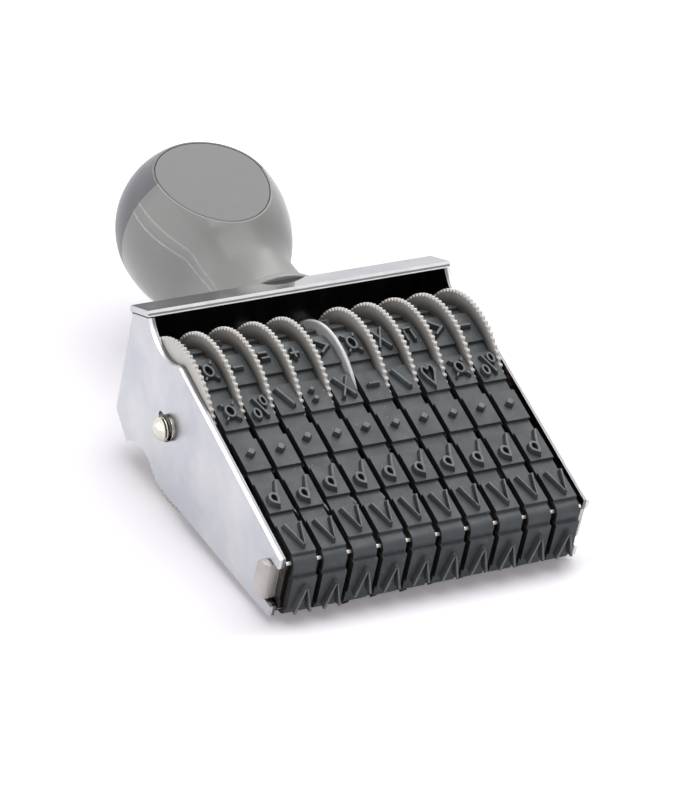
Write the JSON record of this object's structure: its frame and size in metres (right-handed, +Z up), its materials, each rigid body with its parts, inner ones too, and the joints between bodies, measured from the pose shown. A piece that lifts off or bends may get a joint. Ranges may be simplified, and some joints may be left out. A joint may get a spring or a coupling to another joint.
{
  "type": "numbering machine",
  "caption": "Hand numbering stamp: steel frame, row of knurled thumb wheels turning rubber figure bands over a print bar, ball handle.",
  "frame": {"origin": "middle of the bounding box at the level of the surface the stamp lies on", "axes": "+Y along the stamp from its print end to its handle, +Z up, +X across its bands"},
  "size_m": [0.0802, 0.1358, 0.0476],
  "materials": {
    "plated_sheet": "bright zinc plated sheet",
    "bar_sheet": "warm nickel plated sheet",
    "axle_steel": "yellowish plated, satin",
    "clip_steel": "bright spring steel",
    "screw_steel": "zinc plated",
    "band_rubber": "slate grey, satin",
    "wheel_plastic": "warm off-white, satin",
    "disc_plastic": "white, glossy",
    "handle_grey": "mid grey, satin gloss",
    "cap_dark": "dark grey, satin gloss",
    "badge_grey": "mid grey, smooth matt"
  },
  "bodies": {
    "stamp": {"frame": "plated_sheet", "print_bar": "bar_sheet", "axle": "axle_steel", "axle_clip_left": "clip_steel", "axle_clip_right": "clip_steel", "band_01": "band_rubber", "band_02": "band_rubber", "band_03": "band_rubber", "band_04": "band_rubber", "band_05": "band_rubber", "band_06": "band_rubber", "band_07": "band_rubber", "band_08": "band_rubber", "band_09": "band_rubber", "band_10": "band_rubber", "handle_body": "handle_grey", "handle_cap": "cap_dark", "handle_badge": "badge_grey", "handle_screws": "screw_steel"},
    "wheel_01": {"wheel_01": "wheel_plastic"},
    "wheel_02": {"wheel_02": "wheel_plastic"},
    "wheel_03": {"wheel_03": "wheel_plastic"},
    "wheel_04": {"wheel_04": "wheel_plastic"},
    "wheel_05": {"wheel_05": "wheel_plastic"},
    "wheel_06": {"wheel_06": "wheel_plastic"},
    "wheel_07": {"wheel_07": "wheel_plastic"},
    "wheel_08": {"wheel_08": "wheel_plastic"},
    "wheel_09": {"wheel_09": "wheel_plastic"},
    "wheel_10": {"wheel_10": "wheel_plastic"},
    "centre_disc": {"divider_disc": "disc_plastic"}
  },
  "joints": [
    {"name": "wheel_01_turn", "type": "hinge", "parent": "stamp", "child": "wheel_01", "pos_m": [0, -0.0132, 0.0193], "axis": [1, 0, 0], "continuous": true},
    {"name": "wheel_02_turn", "type": "hinge", "parent": "stamp", "child": "wheel_02", "pos_m": [0, -0.0132, 0.0193], "axis": [1, 0, 0], "continuous": true},
    {"name": "wheel_03_turn", "type": "hinge", "parent": "stamp", "child": "wheel_03", "pos_m": [0, -0.0132, 0.0193], "axis": [1, 0, 0], "continuous": true},
    {"name": "wheel_04_turn", "type": "hinge", "parent": "stamp", "child": "wheel_04", "pos_m": [0, -0.0132, 0.0193], "axis": [1, 0, 0], "continuous": true},
    {"name": "wheel_05_turn", "type": "hinge", "parent": "stamp", "child": "wheel_05", "pos_m": [0, -0.0132, 0.0193], "axis": [1, 0, 0], "continuous": true},
    {"name": "wheel_06_turn", "type": "hinge", "parent": "stamp", "child": "wheel_06", "pos_m": [0, -0.0132, 0.0193], "axis": [1, 0, 0], "continuous": true},
    {"name": "wheel_07_turn", "type": "hinge", "parent": "stamp", "child": "wheel_07", "pos_m": [0, -0.0132, 0.0193], "axis": [1, 0, 0], "continuous": true},
    {"name": "wheel_08_turn", "type": "hinge", "parent": "stamp", "child": "wheel_08", "pos_m": [0, -0.0132, 0.0193], "axis": [1, 0, 0], "continuous": true},
    {"name": "wheel_09_turn", "type": "hinge", "parent": "stamp", "child": "wheel_09", "pos_m": [0, -0.0132, 0.0193], "axis": [1, 0, 0], "continuous": true},
    {"name": "wheel_10_turn", "type": "hinge", "parent": "stamp", "child": "wheel_10", "pos_m": [0, -0.0132, 0.0193], "axis": [1, 0, 0], "continuous": true},
    {"name": "centre_disc_turn", "type": "hinge", "parent": "stamp", "child": "centre_disc", "pos_m": [0, -0.0132, 0.0193], "axis": [1, 0, 0], "continuous": true}
  ]
}
